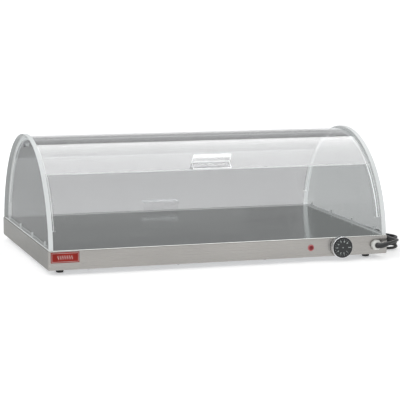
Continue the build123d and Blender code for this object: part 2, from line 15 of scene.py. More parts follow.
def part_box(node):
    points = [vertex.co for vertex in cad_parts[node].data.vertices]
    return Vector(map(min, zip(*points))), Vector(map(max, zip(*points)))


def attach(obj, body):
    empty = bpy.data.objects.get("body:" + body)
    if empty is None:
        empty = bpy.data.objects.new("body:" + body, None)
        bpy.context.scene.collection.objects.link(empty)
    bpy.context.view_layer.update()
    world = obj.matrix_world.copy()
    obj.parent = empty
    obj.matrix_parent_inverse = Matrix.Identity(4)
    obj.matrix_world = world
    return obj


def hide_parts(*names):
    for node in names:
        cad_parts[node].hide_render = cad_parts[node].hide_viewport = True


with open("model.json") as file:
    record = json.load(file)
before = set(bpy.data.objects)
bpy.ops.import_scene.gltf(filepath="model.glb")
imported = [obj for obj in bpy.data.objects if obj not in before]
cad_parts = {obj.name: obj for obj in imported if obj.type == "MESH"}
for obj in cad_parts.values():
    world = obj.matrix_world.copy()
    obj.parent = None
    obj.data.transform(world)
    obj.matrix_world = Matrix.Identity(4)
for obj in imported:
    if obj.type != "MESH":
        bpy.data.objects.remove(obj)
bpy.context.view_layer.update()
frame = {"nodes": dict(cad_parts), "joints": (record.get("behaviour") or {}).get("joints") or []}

nodes = frame["nodes"]


def middle(node):
    low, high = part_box(node)
    return (low + high) / 2


arch = Vector(frame["joints"][0]["pos_m"])     # the axis that both flaps turn about
arch_radius = 0.239                            # outside of the end panels
front_radius = 0.2335                          # outside of each flap's sheet
rear_radius = 0.2285
flap_sheet = 0.003
handle_reach = 0.025                           # from the sheet's outside to the ledge's tip
base_top = 0.054
panel_middle = abs(middle("end_panel_left").x)


def half_width(node):
    low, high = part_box(node)
    return (high.x - low.x) / 2


def stands_for(piece, node, body="base"):
    """Puts a piece in the place of a CAD node: hides the node and puts the piece on its body."""
    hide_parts(node)
    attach(piece, body)


# -------- small geometry helpers
def added(name, data):
    made = bpy.data.objects.new(name, data)
    bpy.context.scene.collection.objects.link(made)
    return made


def shown(name, mesh, material, sharp=35.0):
    """A new object from a mesh, smooth except at edges sharper than the given angle."""
    mesh.polygons.foreach_set("use_smooth", [True] * len(mesh.polygons))
    mesh.set_sharp_from_angle(angle=radians(sharp))
    mesh.materials.append(material)
    return added(name, mesh)


def mesh_of(name, points, faces):
    mesh = bpy.data.meshes.new(name)
    mesh.from_pydata([tuple(p) for p in points], [], faces)
    mesh.validate()
    return mesh


def mesh_from(work, name):
    """The mesh of a bmesh, which is then done with."""
    mesh = bpy.data.meshes.new(name)
    work.to_mesh(mesh)
    work.free()
    return mesh


def facing_front(place):
    """A matrix whose local Z points out of the front face, towards -Y."""
    return Matrix.Translation(place) @ Matrix.Rotation(pi / 2, 4, "X")


def ring_faces(rings, around):
    """The faces between rings of points, each ring with as many points as the next."""
    faces = []
    for ring in range(rings - 1):
        for step in range(around):
            following = (step + 1) % around
            a, b = ring * around, (ring + 1) * around
            faces.append((a + step, a + following, b + following, b + step))
    return faces


def turned_mesh(name, profile, place, around=64, shape=None):
    """A body turned from (radius, height) points about local Z; shape(angle, radius, height)
    may change the radius, as for flutes and flats. The profile starts and ends on the axis."""
    points = []
    for radius, height in profile:
        for step in range(around):
            angle = 2 * pi * step / around
            r = shape(angle, radius, height) if shape else radius
            points.append(place @ Vector((r * cos(angle), r * sin(angle), height)))
    mesh = mesh_of(name, points, ring_faces(len(profile), around))
    tidy_mesh(mesh)
    return mesh


def turned(name, profile, place, material, around=64, shape=None, sharp=35.0):
    return shown(name, turned_mesh(name, profile, place, around, shape), material, sharp)


def tidy_mesh(mesh, near=2e-6):
    """Joins equal points, closes open rings and turns every face outward."""
    work = bmesh.new()
    work.from_mesh(mesh)
    bmesh.ops.remove_doubles(work, verts=work.verts, dist=near)
    bmesh.ops.dissolve_degenerate(work, edges=work.edges, dist=near / 2)
    open_edges = [edge for edge in work.edges if edge.is_boundary]
    if open_edges:
        bmesh.ops.holes_fill(work, edges=open_edges, sides=0)
    bmesh.ops.recalc_face_normals(work, faces=work.faces)
    work.to_mesh(mesh)
    work.free()


def ring_turned(name, profile, place, material, around=64, shape=None, sharp=35.0):
    """As turned, but the profile is a closed loop that stays clear of the axis."""
    return turned(name, [*profile, profile[0]], place, material, around, shape, sharp)


def swept(name, line, radii, material, around=32, sharp=50.0):
    """A tube along a line of points, with a radius at each and its two ends closed flat."""
    points = []
    side = (line[1] - line[0]).orthogonal().normalized()
    for index, place in enumerate(line):
        ahead = line[min(index + 1, len(line) - 1)] - line[max(index - 1, 0)]
        ahead.normalize()
        side = (side - ahead * side.dot(ahead)).normalized()
        other = ahead.cross(side)
        for step in range(around):
            angle = 2 * pi * step / around
            points.append(place + (side * cos(angle) + other * sin(angle)) * radii[index])
    faces = ring_faces(len(line), around)
    faces.append(tuple(reversed(range(around))))
    faces.append(tuple(range((len(line) - 1) * around, len(line) * around)))
    mesh = mesh_of(name, points, faces)
    tidy_mesh(mesh)
    return shown(name, mesh, material, sharp)


def bevelled(name, work, material, width, segments=2, sharp=35.0):
    """Finishes a bmesh: rounds its sharp edges and makes the object."""
    bmesh.ops.recalc_face_normals(work, faces=work.faces)
    edges = [e for e in work.edges if e.is_manifold and e.calc_face_angle(0) > radians(sharp)]
    bmesh.ops.bevel(work, geom=edges, offset=width, segments=segments, profile=0.5,
                    affect="EDGES", clamp_overlap=True)
    return shown(name, mesh_from(work, name), material, sharp)


def block(work, low, high, place=None):
    """Adds a box between two corners to a bmesh."""
    made = bmesh.ops.create_cube(work, size=1.0)["verts"]
    size = Vector(high) - Vector(low)
    centre = (Vector(high) + Vector(low)) / 2
    matrix = Matrix.Translation(centre) @ Matrix.Diagonal((*size, 1.0))
    if place is not None:
        matrix = place @ matrix
    bmesh.ops.transform(work, matrix=matrix, verts=made)
    return made


def soften(node, width, segments=2, sharp=35.0):
    """Rounds the sharp edges of a CAD node with modifiers, which leave its mesh as it is."""
    piece = nodes[node]
    weld = piece.modifiers.new("weld", "WELD")
    weld.merge_threshold = 1e-6
    bevel = piece.modifiers.new("bevel", "BEVEL")
    bevel.width = width
    bevel.segments = segments
    bevel.limit_method = "ANGLE"
    bevel.angle_limit = radians(sharp)
    bevel.harden_normals = True


# -------- materials
class Surface:
    """One material's nodes. Colours are linear; scales are per metre of the object."""

    def __init__(self, name, colour=(0.5, 0.5, 0.5), roughness=0.5, metallic=0.0, **plain):
        self.material = bpy.data.materials.new(name)
        self.material.use_nodes = True
        self.tree = self.material.node_tree
        self.tree.nodes.clear()
        self.output = self.node("OutputMaterial")
        self.shader = self.node("BsdfPrincipled", **{
            "Base Color": (*colour, 1.0), "Roughness": roughness, "Metallic": metallic, **plain})
        self.place = self.node("TexCoord")
        self.link(self.shader.outputs["BSDF"], self.output.inputs["Surface"])

    def link(self, source, target):
        self.tree.links.new(source, target)

    def node(self, kind, settings=None, **inputs):
        made = self.tree.nodes.new("ShaderNode" + kind)
        for key, value in (settings or {}).items():
            setattr(made, key, value)
        for key, value in inputs.items():
            self.put(made, key, value)
        return made

    def put(self, node, key, value):
        socket = node.inputs[key]
        if isinstance(value, bpy.types.NodeSocket):
            self.link(value, socket)
        else:
            socket.default_value = value

    def maths(self, operation, a, b=0.0, clamp=False):
        made = self.node("Math", {"operation": operation, "use_clamp": clamp})
        self.put(made, 0, a)
        self.put(made, 1, b)
        return made.outputs[0]

    def vector(self, operation, a, b=None):
        made = self.node("VectorMath", {"operation": operation})
        self.put(made, 0, a)
        if b is not None:
            self.put(made, 1, b)
        return made.outputs["Value" if operation in ("DOT_PRODUCT", "LENGTH") else "Vector"]

    def coordinate(self, axis):
        split = self.node("SeparateXYZ", Vector=self.place.outputs["Object"])
        return split.outputs[axis]

    def noise(self, scale, detail=3.0, roughness=0.55, stretch=None):
        """Noise over the object, which may be stretched along each axis."""
        source = self.place.outputs["Object"]
        if stretch:
            source = self.vector("MULTIPLY", source, stretch)
        made = self.node("TexNoise", Vector=source, Scale=scale, Detail=detail,
                         Roughness=roughness)
        return made.outputs["Fac"]

    def cells(self, scale):
        """A random grey for each cell of a broken pattern."""
        made = self.node("TexVoronoi", Vector=self.place.outputs["Object"], Scale=scale)
        return self.node("SeparateColor", Color=made.outputs["Color"]).outputs[0]

    def between(self, fac, low, high, start=0.0, end=1.0):
        """Maps fac from start..end to low..high."""
        made = self.node("MapRange", **{"Value": fac, "From Min": start, "From Max": end,
                                        "To Min": low, "To Max": high})
        return made.outputs[0]

    def colours(self, fac, *stops):
        """A colour ramp through (place, colour) stops."""
        made = self.node("ValToRGB", Fac=fac)
        ramp = made.color_ramp
        while len(ramp.elements) < len(stops):
            ramp.elements.new(1.0)
        for element, (place, colour) in zip(ramp.elements, stops):
            element.position = place
            element.color = (*colour, 1.0)
        return made.outputs["Color"]

    def colour(self, source):
        self.link(source, self.shader.inputs["Base Color"])

    def roughness(self, source):
        self.link(source, self.shader.inputs["Roughness"])

    def bump(self, height, distance, strength=1.0):
        made = self.node("Bump", Strength=strength, Distance=distance, Height=height)
        self.link(made.outputs["Normal"], self.shader.inputs["Normal"])

    def mixed(self, share, first, second):
        """Two shaders mixed; share is how much of the second one."""
        made = self.node("MixShader", Fac=share)
        self.link(first.outputs[0], made.inputs[1])
        self.link(second.outputs[0], made.inputs[2])
        return made

    def along(self, toward):
        """1 where the face looks along the given direction or against it, else 0."""
        same = self.vector("DOT_PRODUCT", self.place.outputs["Normal"], toward)
        return self.between(self.maths("ABSOLUTE", same), 0.0, 1.0, 0.72, 0.93)

    def from_arch_axis(self):
        """The way from the arch axis to each point, across the axis."""
        way = self.vector("SUBTRACT", self.place.outputs["Object"], (0.0, arch.y, arch.z))
        return self.vector("MULTIPLY", way, (0.0, 1.0, 1.0))

    def arch_radial(self):
        return self.vector("NORMALIZE", self.from_arch_axis())

    def arch_distance(self):
        return self.vector("LENGTH", self.from_arch_axis())


def panel_faces(s):
    """The end panels are clear on their two broad faces, and pale in the bores of their screws. For
    a few millimetres above the base the broad faces turn mostly pale as well: a painted bright line
    along the foot."""
    # painted bright line: below about 3 mm above the base the broad faces take the pale, glowing
    # edge material
    off_base = s.between(s.coordinate("Z"), 0.35, 1.0, base_top + 0.0012, base_top + 0.0032)
    from_middle = s.maths("SUBTRACT", s.maths("ABSOLUTE", s.coordinate("X")), panel_middle)
    at_face = s.between(s.maths("ABSOLUTE", from_middle), 0.0, 1.0, 0.0030, 0.0040)
    broad = s.maths("MULTIPLY", s.along((1.0, 0.0, 0.0)), at_face)
    return s.maths("MULTIPLY", broad, off_base)


def flap_faces(s):
    return s.along(s.arch_radial())


def rod_faces(s):
    return s.maths("SUBTRACT", 1.0, s.along((1.0, 0.0, 0.0)))


def rail_faces(s):
    """A rail's upper step has a pale inner side with a painted glow, which draws a bright line
    along the arch.
    """
    step_top = rear_radius - flap_sheet - 0.0002
    lower_step = s.between(s.arch_distance(), 1.0, 0.0, step_top - 0.0001, step_top + 0.0001)
    side = s.maths("MULTIPLY", s.along((1.0, 0.0, 0.0)), lower_step)
    return s.maths("MAXIMUM", s.along(s.arch_radial()), side)


def handle_faces(flap_radius, clear_flange=False):
    """A handle's flange is clear along the sheet, and at its edges too where clear_flange is set.
    Its ledge is clear, but pale at the tip, where a painted glow stands in for the light that comes
    out."""
    flange_outside = flap_radius + flap_sheet + 0.0003
    tip = flap_radius + handle_reach

    def faces(s):
        radial = s.arch_radial()
        tangent = s.vector("CROSS_PRODUCT", radial, (1.0, 0.0, 0.0))
        on_ledge = s.between(s.arch_distance(), 0.0, 1.0, flange_outside, flange_outside + 0.0002)
        on_flange = s.maths("SUBTRACT", 1.0, on_ledge)
        flange = on_flange if clear_flange else s.maths("MULTIPLY", s.along(radial), on_flange)
        tip_clear = s.between(s.arch_distance(), 1.0, 0.3, tip - 0.0105, tip - 0.0065)
        ledge = s.maths("MULTIPLY", s.maths("MULTIPLY", s.along(tangent), on_ledge), tip_clear)
        return s.maths("MAXIMUM", flange, ledge)
    return faces


def shade(colour, by):
    return tuple(c * by for c in colour)


def steel(name, lit_top_colour, shaded_side_colour, top_roughness, side_roughness, grain=0.35):
    """Stainless sheet with a brushed grain along X; the top is ground finer than the sides. Painted
    shade: the sides get a darker colour than the top and a dimmed grey specular tint.
    """
    s = Surface(name, shaded_side_colour, side_roughness, 1.0)
    streaks = s.noise(1.0, 4.0, 0.6, (7.0, 900.0, 900.0))
    broad = s.noise(5.0, 2.0, 0.5, (1.0, 2.5, 2.5))
    tone = s.maths("ADD", s.maths("MULTIPLY", streaks, 0.5), s.maths("MULTIPLY", broad, 0.5))
    facing = s.node("SeparateXYZ", Vector=s.place.outputs["Normal"])
    up = s.between(facing.outputs["Z"], 0.0, 1.0, 0.6, 0.95)
    # painted shade: the sides take a darker colour than the top
    shaded_side_tone = s.colours(tone, (0.3, shade(shaded_side_colour, 0.88)), (0.7, shade(shaded_side_colour, 1.12)))
    lit_top_tone = s.colours(tone, (0.3, shade(lit_top_colour, 0.87)), (0.7, shade(lit_top_colour, 1.13)))
    both = s.node("Mix", {"data_type": "RGBA"})
    s.link(up, both.inputs["Factor"])
    s.link(shaded_side_tone, both.inputs[6])
    s.link(lit_top_tone, both.inputs[7])
    s.colour(both.outputs[2])
    # painted shade: a grey specular tint dims the sides' reflections
    s.put(s.shader, "Specular Tint",
          s.colours(up, (0.0, (0.55, 0.56, 0.56)), (1.0, (1.0, 1.0, 1.0))))
    level = s.maths("ADD", s.maths("MULTIPLY", up, top_roughness - side_roughness), side_roughness)
    s.roughness(s.maths("ADD", level, s.between(streaks, -0.03, 0.05)))
    s.bump(streaks, 0.00002, grain)
    return s.material


def galvanised(name):
    s = Surface(name, (0.5, 0.51, 0.52), 0.4, 1.0)
    grey = s.cells(230.0)
    s.colour(s.colours(grey, (0.0, (0.44, 0.45, 0.47)), (1.0, (0.58, 0.59, 0.60))))
    s.roughness(s.between(grey, 0.32, 0.52))
    s.bump(s.noise(300.0, 3.0), 0.00003, 0.3)
    return s.material


def zinc(name, colour=(0.62, 0.63, 0.64)):
    s = Surface(name, colour, 0.3, 1.0)
    grain = s.noise(900.0, 3.0)
    s.colour(s.colours(grain, (0.2, shade(colour, 0.8)), (0.8, colour)))
    s.roughness(s.between(grain, 0.22, 0.42))
    s.bump(grain, 0.00001, 0.3)
    return s.material


def polished(name, colour, roughness=0.08):
    s = Surface(name, colour, roughness, 1.0)
    smear = s.noise(60.0, 3.0)
    s.roughness(s.between(smear, roughness * 0.6, roughness * 1.8))
    s.colour(s.colours(smear, (0.2, shade(colour, 0.92)), (0.8, colour)))
    return s.material


def painted_panel_edge_light(s):
    """Painted edge light of the end panels, as emission strength: low along the front of the arch,
    more in the bores and at the foot, none at the left panel's rear and most at the right panel's
    rear, which meets the lit backdrop."""
    front, inner, rear_right = 0.24, 0.32, 0.75
    rearward = s.between(s.coordinate("Y"), 0.0, 1.0, arch.y + 0.02, arch.y + 0.12)
    at_rear = s.between(s.coordinate("X"), -front, rear_right - front, -0.01, 0.01)
    rim = s.maths("ADD", s.maths("MULTIPLY", rearward, at_rear), front)
    outside = s.between(s.arch_distance(), 0.0, 1.0, arch_radius - 0.011, arch_radius - 0.003)
    return s.maths("ADD", s.maths("MULTIPLY", outside, s.maths("SUBTRACT", rim, inner)), inner)


def painted_front_edge_light(s):
    """Painted edge light of the front flap, as emission strength: low at its lower edge, strong at
    its far upper edge.
    """
    return s.between(s.coordinate("Y"), 0.2, 2.0, 0.0, 0.1)


def clear(name, passes, faces, mirror=0.045, glance=0.9, haze=0.02, edge=(0.80, 0.82, 0.82),
          painted_glow=0.12):
    """Clear acrylic. passes is what one face lets through. Cut edges look frosted and pale, and
    carry a painted glow: emission that stands in for the light the sheet carries to them."""
    # painted glow: the pale cut edges get an emission colour and strength of their own
    s = Surface(name, edge, 0.32, **{
        "Emission Color": (0.97, 0.99, 1.0, 1.0), "Specular IOR Level": 0.2})
    s.put(s.shader, "Emission Strength", painted_glow(s) if callable(painted_glow) else painted_glow)
    smudge = s.noise(9.0, 4.0, 0.6)
    fine = s.noise(160.0, 2.0)
    s.roughness(s.between(fine, 0.24, 0.42))
    tint = s.colours(smudge, (0.3, shade(passes, 0.985)), (0.7, passes))
    through = s.node("BsdfTransparent", Color=tint)
    dust = s.node("BsdfDiffuse", Color=(0.85, 0.86, 0.86, 1.0))
    film = s.mixed(s.between(smudge, haze * 0.6, haze * 1.4), through, dust)
    facing = s.node("LayerWeight", Blend=0.5).outputs["Facing"]
    grazing = s.maths("MULTIPLY", s.maths("POWER", facing, 5.0), glance)
    gloss = s.node("BsdfGlossy", Color=(1.0, 1.0, 1.0, 1.0), Roughness=0.0)
    sheet = s.mixed(s.maths("ADD", grazing, mirror, clamp=True), film, gloss)
    cut = s.mixed(0.12, s.shader, through)
    whole = s.mixed(faces(s), cut, sheet)
    s.link(whole.outputs[0], s.output.inputs["Surface"])
    return s.material


def moulded(name, colour, roughness=0.45, variation=0.12, grain=700.0, depth=0.00002, **plain):
    """A moulded plastic or rubber: a slight cloud in its colour and a fine grain."""
    s = Surface(name, colour, roughness, **plain)
    cloud = s.noise(40.0, 3.0)
    s.colour(s.colours(cloud, (0.3, shade(colour, 1 - variation)),
                       (0.7, shade(colour, 1 + variation))))
    fine = s.noise(grain, 3.0)
    s.roughness(s.between(fine, roughness * 0.82, min(1.0, roughness * 1.2)))
    s.bump(fine, depth, 0.5)
    return s.material


def silicone_mat(name):
    """Glass-cloth silicone with the heating wire's rows showing as low ridges."""
    s = Surface(name, (0.50, 0.12, 0.05), 0.55)
    rows = s.node("TexWave", {"wave_type": "BANDS", "bands_direction": "Y"},
                  Vector=s.place.outputs["Object"], Scale=16.0)
    weave = s.noise(1.0, 2.0, 0.5, (900.0, 900.0, 900.0))
    s.colour(s.colours(rows.outputs["Fac"], (0.0, (0.42, 0.09, 0.035)), (0.9, (0.60, 0.17, 0.08))))
    s.roughness(s.between(weave, 0.45, 0.7))
    height = s.maths("ADD", rows.outputs["Fac"], s.maths("MULTIPLY", weave, 0.3))
    s.bump(height, 0.0003, 0.8)
    return s.material


def fibre_board(name):
    s = Surface(name, (0.72, 0.67, 0.55), 0.95)
    fibres = s.noise(1.0, 5.0, 0.7, (90.0, 500.0, 900.0))
    s.colour(s.colours(fibres, (0.3, (0.60, 0.54, 0.42)), (0.7, (0.82, 0.78, 0.68))))
    s.bump(fibres, 0.0004, 0.8)
    return s.material


def lens_red(name, place):
    """A red lamp lens: a dark core inside a paler, pinkish flange."""
    s = Surface(name, (0.3, 0.02, 0.02), 0.14)
    away = s.vector("SUBTRACT", s.place.outputs["Object"], tuple(place))
    radius = s.vector("LENGTH", s.vector("MULTIPLY", away, (1.0, 0.0, 1.0)))
    s.colour(s.colours(s.between(radius, 0.0, 1.0, 0.0, 0.0078),
                       (0.0, (0.14, 0.004, 0.008)), (0.52, (0.20, 0.008, 0.014)),
                       (0.70, (0.40, 0.09, 0.10)), (1.0, (0.44, 0.18, 0.18))))
    ripple = s.noise(500.0, 2.0)
    s.roughness(s.between(ripple, 0.08, 0.2))
    s.bump(ripple, 0.00002, 0.3)
    return s.material


flap_clear = ((0.712, 0.714, 0.718), flap_faces, 0.08, 0.92, 0.032)
grip_passes = (0.997, 0.997, 0.997)
grip_clear = (0.01, 0.4, 0.01, (0.93, 0.94, 0.94))
looks = {
    # steel: a lighter top and darker sides, painted shade
    "steel": steel("brushed_steel", (0.405, 0.422, 0.410), (0.360, 0.348, 0.332), 0.13, 0.26),
    "galvanised": galvanised("galvanised_steel"),
    "zinc": zinc("zinc_plate"),
    # painted highlight: a whitened copy of the zinc, so the stand screws read as bright lines
    # behind the end panels
    "zinc_painted_highlight": zinc("zinc_painted_highlight", (0.90, 0.91, 0.92)),
    # a darker copy of the zinc, for the tie rod's screws
    "darker_zinc": zinc("darker_zinc", (0.26, 0.26, 0.27)),
    "chrome": polished("chrome", (0.80, 0.81, 0.82)),
    "nickel": polished("nickel", (0.70, 0.67, 0.60), 0.18),
    "copper": polished("copper", (0.80, 0.42, 0.28), 0.25),
    # the glow values below are painted edge light: emission on the pale faces of each clear part
    "panel": clear("clear_panel", (0.63, 0.64, 0.64), panel_faces, 0.03, 0.30, 0.012,
                   (0.50, 0.52, 0.52), painted_panel_edge_light),
    "front_sheet": clear("clear_front_sheet", *flap_clear, painted_glow=painted_front_edge_light),
    "rear_sheet": clear("clear_rear_sheet", *flap_clear, painted_glow=0.2),
    "rail": clear("clear_rail", (0.97, 0.97, 0.97), rail_faces, 0.02, 0.3, 0.01, painted_glow=0.5),
    "front_grip": clear("clear_front_grip", grip_passes, handle_faces(front_radius), *grip_clear,
                        painted_glow=0.35),
    "rear_grip": clear("clear_rear_grip", grip_passes, handle_faces(rear_radius, True),
                       *grip_clear, painted_glow=0.6),
    "rod": clear("clear_rod", (0.95, 0.95, 0.95), rod_faces, 0.04, 0.9, 0.02),
    "mat": silicone_mat("silicone_mat"),
    "board": fibre_board("mineral_fibre"),
    "knob": moulded("black_knob", (0.014, 0.014, 0.015), 0.28),
    "dial": moulded("dial_black", (0.016, 0.018, 0.019), 0.36),
    "ink": moulded("pale_ink", (0.42, 0.46, 0.45), 0.5, 0.06),
    "badge": moulded("red_enamel", (0.24, 0.008, 0.003), 0.25, 0.1, **{"Specular IOR Level": 0.22}),
    "badge_ink": moulded("badge_ink", (0.80, 0.78, 0.74), 0.5, 0.06),
    "gland": moulded("grey_nylon", (0.60, 0.61, 0.58), 0.42, 0.06),
    "rubber": moulded("black_rubber", (0.018, 0.018, 0.019), 0.6, 0.2, 500.0, 0.00005),
    "cord": moulded("cord_sheath", (0.018, 0.018, 0.019), 0.45, 0.15, 350.0, 0.00003),
    "plug": moulded("plug_plastic", (0.022, 0.022, 0.023), 0.45, 0.12, 600.0, 0.00003),
    "resin": moulded("resin_case", (0.60, 0.56, 0.45), 0.5),
    "ceramic": moulded("terminal_white", (0.80, 0.79, 0.76), 0.35, 0.05),
    "dark_case": moulded("lamp_case", (0.05, 0.05, 0.052), 0.4),
    "sleeve": moulded("wire_sleeve", (0.60, 0.58, 0.54), 0.55, 0.08, 400.0),
    "core": moulded("supply_core", (0.30, 0.16, 0.08), 0.45, 0.1, 400.0),
    "lens": lens_red("red_lens", middle("pilot_lens")),
}
node_looks = {
    "steel": ["housing"],
    "galvanised": ["bottom_cover", "retainer_plate", "terminal_bracket"],
    "zinc": ["cover_screws", "foot_screws", "foot_nuts", "heater_studs", "heater_nuts",
             "thermostat_screws", "thermostat_spindle", "pilot_clip", "terminal_screws"],
    "zinc_painted_highlight": ["end_panel_screws"],
    "darker_zinc": ["tie_rod_screws"],
    "chrome": ["knob_trim"],
    "nickel": ["plug_pins", "plug_earth_contacts", "earth_stud", "earth_nut"],
    "copper": ["sensor_bulb", "capillary"],
    "panel": ["end_panel_left", "end_panel_right"],
    "front_sheet": ["front_flap"],
    "rear_sheet": ["rear_flap"],
    "rail": ["guide_rail_left", "guide_rail_right"],
    "front_grip": ["front_handle"],
    "rear_grip": ["rear_handle"],
    "rod": ["tie_rod"],
    "mat": ["heating_mat_left", "heating_mat_right"],
    "board": ["insulation_board"],
    "knob": ["knob"],
    "dial": ["dial_disc"],
    "badge": ["badge"],
    "gland": ["gland_body", "gland_nut", "gland_locknut"],
    "rubber": ["foot_front_left", "foot_front_right", "foot_rear_left", "foot_rear_right",
               "cord_guard", "cord_tie"],
    "cord": ["inner_lead", "power_cord", "cord_hank", "power_cord_tail"],
    "plug": ["plug_body"],
    "resin": ["thermostat"],
    "ceramic": ["terminal_block"],
    "dark_case": ["pilot_lamp_body"],
    "sleeve": ["thermostat_wire", "heater_wire", "lamp_wire"],
    "core": ["supply_wires"],
    "lens": ["pilot_lens"],
}
for look, members in node_looks.items():
    for node in members:
        nodes[node].material_slots[0].material = looks[look]


# -------- mains lead
cord_diameter = 0.0065
hank_front = Vector((0.4430, -0.1305 + arch.y, 0.0))
hank_rear = Vector((0.4265, -0.0217 + arch.y, 0.0))
hank_middle = (hank_front + hank_rear) / 2
hank_along = (hank_rear - hank_front).normalized()
hank_across = Vector((hank_along.y, -hank_along.x, 0.0))
hank_half = (hank_rear - hank_front).length / 2
loop_radius = 3.0 * cord_diameter
waist = 0.75 * cord_diameter
turn_count = 4
floor_level = cord_diameter / 2
guard_end = Vector((0.38458, -0.26264 + arch.y, 0.03819))
guard_way = Vector((0.9448, 0.2532, 0.2079)).normalized()


def at_hank(along, across, height):
    """A point near the hank, from the middle of its footprint."""
    return hank_middle + hank_along * along + hank_across * across + Vector((0, 0, height))


def level(turns):
    """Height of the cord's middle after so many turns down the hank: the last half turn
    comes down to the table, and the rest is one diameter lower each turn."""
    plain = 0.75 * cord_diameter + floor_level * 0.5 + cord_diameter * (turn_count - turns)
    late = max(0.0, min(1.0, (turns - turn_count + 0.5) / 0.5))
    return plain + (floor_level - plain) * late * late * (3 - 2 * late)


def run_width(share):
    """Half the distance between the two runs, from the tied waist to the loops."""
    s = min(1.0, abs(share))
    return waist + (loop_radius - waist) * s * s * (3 - 2 * s)


def hank_route():
    """Control points of the turns: rearward on the left, forward on the right."""
    around_loop = 8
    on_run = 4
    # A quadratic spline runs inside its points, so the loops' points stand out a little.
    loop = loop_radius / (0.75 + 0.25 * cos(pi / around_loop))
    loop_angles = [pi * step / around_loop for step in range(around_loop + 1)]
    route = []
    for turn in range(turn_count):
        half = hank_half - 0.0016 * ((turn * 2) % 3)
        lean = 0.0004 * ((turn % 2) * 2 - 1)
        stations = []
        for step in range(1, on_run):
            s = step / on_run
            stations.append((half * s, -run_width(s)))
        stations += [(half + loop * sin(a), -loop * cos(a)) for a in loop_angles]
        for step in range(1, 2 * on_run):
            s = 1 - step / on_run
            stations.append((half * s, run_width(s)))
        stations += [(-half - loop * sin(a), loop * cos(a)) for a in loop_angles]
        for step in range(on_run - 1, -1, -1):
            s = step / on_run
            stations.append((-half * s, -run_width(s)))
        for index, (along, across) in enumerate(stations):
            turns = turn + (index + 1) / len(stations)
            route.append(at_hank(along, across + lean, level(turns)))
    return route


def from_arch(x, y, z):
    """A point whose y is counted from the arch axis."""
    return Vector((x, y + arch.y, z))


lead_route = [
    guard_end,
    guard_end + guard_way * 0.010,
    from_arch(0.4053, -0.2540, 0.0414),
    from_arch(0.4140, -0.2448, 0.0412),
    from_arch(0.4195, -0.2318, 0.0394),
    from_arch(0.4230, -0.2150, 0.0372),
    from_arch(0.4265, -0.1940, 0.0346),
    from_arch(0.4300, -0.1750, 0.0332),
    from_arch(0.4322, -0.1615, 0.0328),
    from_arch(0.4324, -0.1495, 0.0327),
    at_hank(-0.055, -0.0150, 0.0326),
    at_hank(-0.041, -0.0142, 0.0323),
    at_hank(-0.027, -0.0108, 0.0320),
    at_hank(-0.013, -0.0068, 0.0315),
    at_hank(0.0, -waist, level(0.0)),
]
plug_place = from_arch(0.4120, 0.0740, 0.0172)
tail_route = [
    at_hank(0.016, -0.0074, floor_level),
    at_hank(0.032, -0.0128, floor_level),
    at_hank(0.049, -0.0175, floor_level),
    at_hank(hank_half * 1.18, -3.0 * cord_diameter, floor_level),
    at_hank(hank_half * 1.50, -3.2 * cord_diameter, floor_level + 0.0002),
    from_arch(0.4025, 0.0300, 0.0070),
    from_arch(0.4070, 0.0510, 0.0132),
    plug_place,
]


def make_cord():
    """The whole lead from the guard to the plug, as one spline."""
    route = [*lead_route, *hank_route(), *tail_route]
    curve = bpy.data.curves.new("mains_lead", "CURVE")
    curve.dimensions = "3D"
    curve.bevel_depth = cord_diameter / 2
    curve.bevel_resolution = 6
    curve.resolution_u = 6
    curve.use_fill_caps = True
    spline = curve.splines.new("NURBS")
    spline.points.add(len(route) - 1)
    for point, place in zip(spline.points, route):
        point.co = (*place, 1.0)
    spline.order_u = 3
    spline.use_endpoint_u = True
    curve.materials.append(looks["cord"])
    lead = added("mains_lead", curve)
    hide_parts("power_cord", "cord_hank", "power_cord_tail")
    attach(lead, "base")
    return lead


mains_lead = make_cord()


# -------- camera, floor and light
def make_camera():
    data = bpy.data.cameras.new("camera")
    data.sensor_width = 36.0
    data.lens = 146.1
    data.clip_start = 0.05
    data.clip_end = 200.0
    camera = added("camera", data)
    turn, tilt, roll = radians(-18.134), radians(8.491), radians(0.457)
    aim = Matrix.Rotation(turn, 4, "Z") @ Matrix.Rotation(pi / 2 - tilt, 4, "X")
    camera.matrix_world = (Matrix.Translation((-1.1343, -3.5334, 0.6681)) @ aim
                           @ Matrix.Rotation(roll, 4, "Z"))
    bpy.context.scene.camera = camera


def make_floor():
    half = 60.0
    below = -0.0003
    corners = [(-half, -half, below), (half, -half, below), (half, half, below),
               (-half, half, below)]
    mesh = mesh_of("floor", corners, [(0, 1, 2, 3)])
    paint = Surface("pale_floor", (0.92, 0.92, 0.92), 0.9, **{
        "Emission Color": (1.0, 1.0, 1.0, 1.0), "Emission Strength": 0.36})
    floor = shown("floor", mesh, paint.material)


def softbox(name, place, aim, size, radiance, reflected_only=False):
    """A rectangular soft light of a given brightness, seen from its front."""
    data = bpy.data.lights.new(name, "AREA")
    data.shape = "RECTANGLE"
    data.size, data.size_y = size
    data.energy = radiance * pi * size[0] * size[1]
    lamp = added(name, data)
    lamp.location = place
    lamp.rotation_euler = (Vector(aim) - Vector(place)).to_track_quat("-Z", "Y").to_euler()
    lamp.visible_diffuse = not reflected_only


